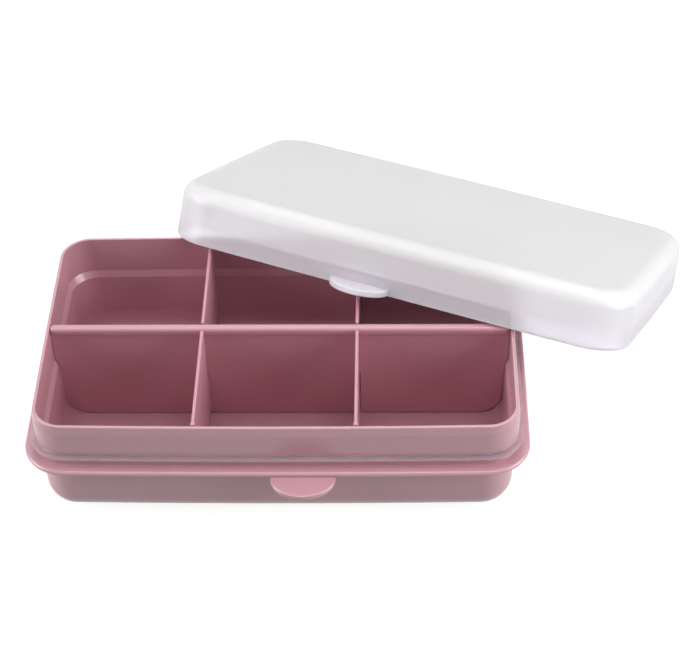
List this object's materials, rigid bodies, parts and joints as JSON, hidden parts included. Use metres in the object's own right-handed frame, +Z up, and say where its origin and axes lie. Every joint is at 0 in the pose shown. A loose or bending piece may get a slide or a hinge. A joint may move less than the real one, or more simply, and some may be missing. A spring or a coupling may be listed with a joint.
{
  "type": "divided snack box",
  "caption": "Low rectangular snack box with a rim collar, sealing ring, lift-out crossed dividers and a frosted lid leaning across one corner.",
  "frame": {"origin": "middle of the box's flat underside", "axes": "+X along the box's length, -Y towards the side with the box's finger tab, +Z up"},
  "size_m": [0.2628, 0.2235, 0.0703],
  "materials": {
    "pink_plastic": "moulded dusty pink, semi-gloss",
    "divider_plastic": "moulded dusty pink, satin",
    "sealing_ring": "milky translucent silicone",
    "frosted_plastic": "frosted translucent, colourless"
  },
  "bodies": {
    "box": {"base_box": "pink_plastic", "sealing_ring": "sealing_ring"},
    "left_cross_divider": {"cross_divider_left": "divider_plastic"},
    "right_cross_divider": {"cross_divider_right": "divider_plastic"},
    "long_divider": {"long_divider": "divider_plastic"},
    "lid": {"lid": "frosted_plastic"}
  },
  "joints": [
    {"name": "left_cross_divider_lift", "type": "slide", "parent": "box", "child": "left_cross_divider", "axis": [0, 0, 1], "range_m": [0, 0.06]},
    {"name": "right_cross_divider_lift", "type": "slide", "parent": "box", "child": "right_cross_divider", "axis": [0, 0, 1], "range_m": [0, 0.06]},
    {"name": "long_divider_lift", "type": "slide", "parent": "left_cross_divider", "child": "long_divider", "axis": [0, 0, 1], "range_m": [0, 0.055]},
    {"name": "lid_lift", "type": "slide", "parent": "long_divider", "child": "lid", "axis": [0, 0, 1], "range_m": [0, 0.12]}
  ],
  "couplings": [
    {"joint": "right_cross_divider_lift", "follows": "left_cross_divider_lift", "ratio": 1}
  ]
}
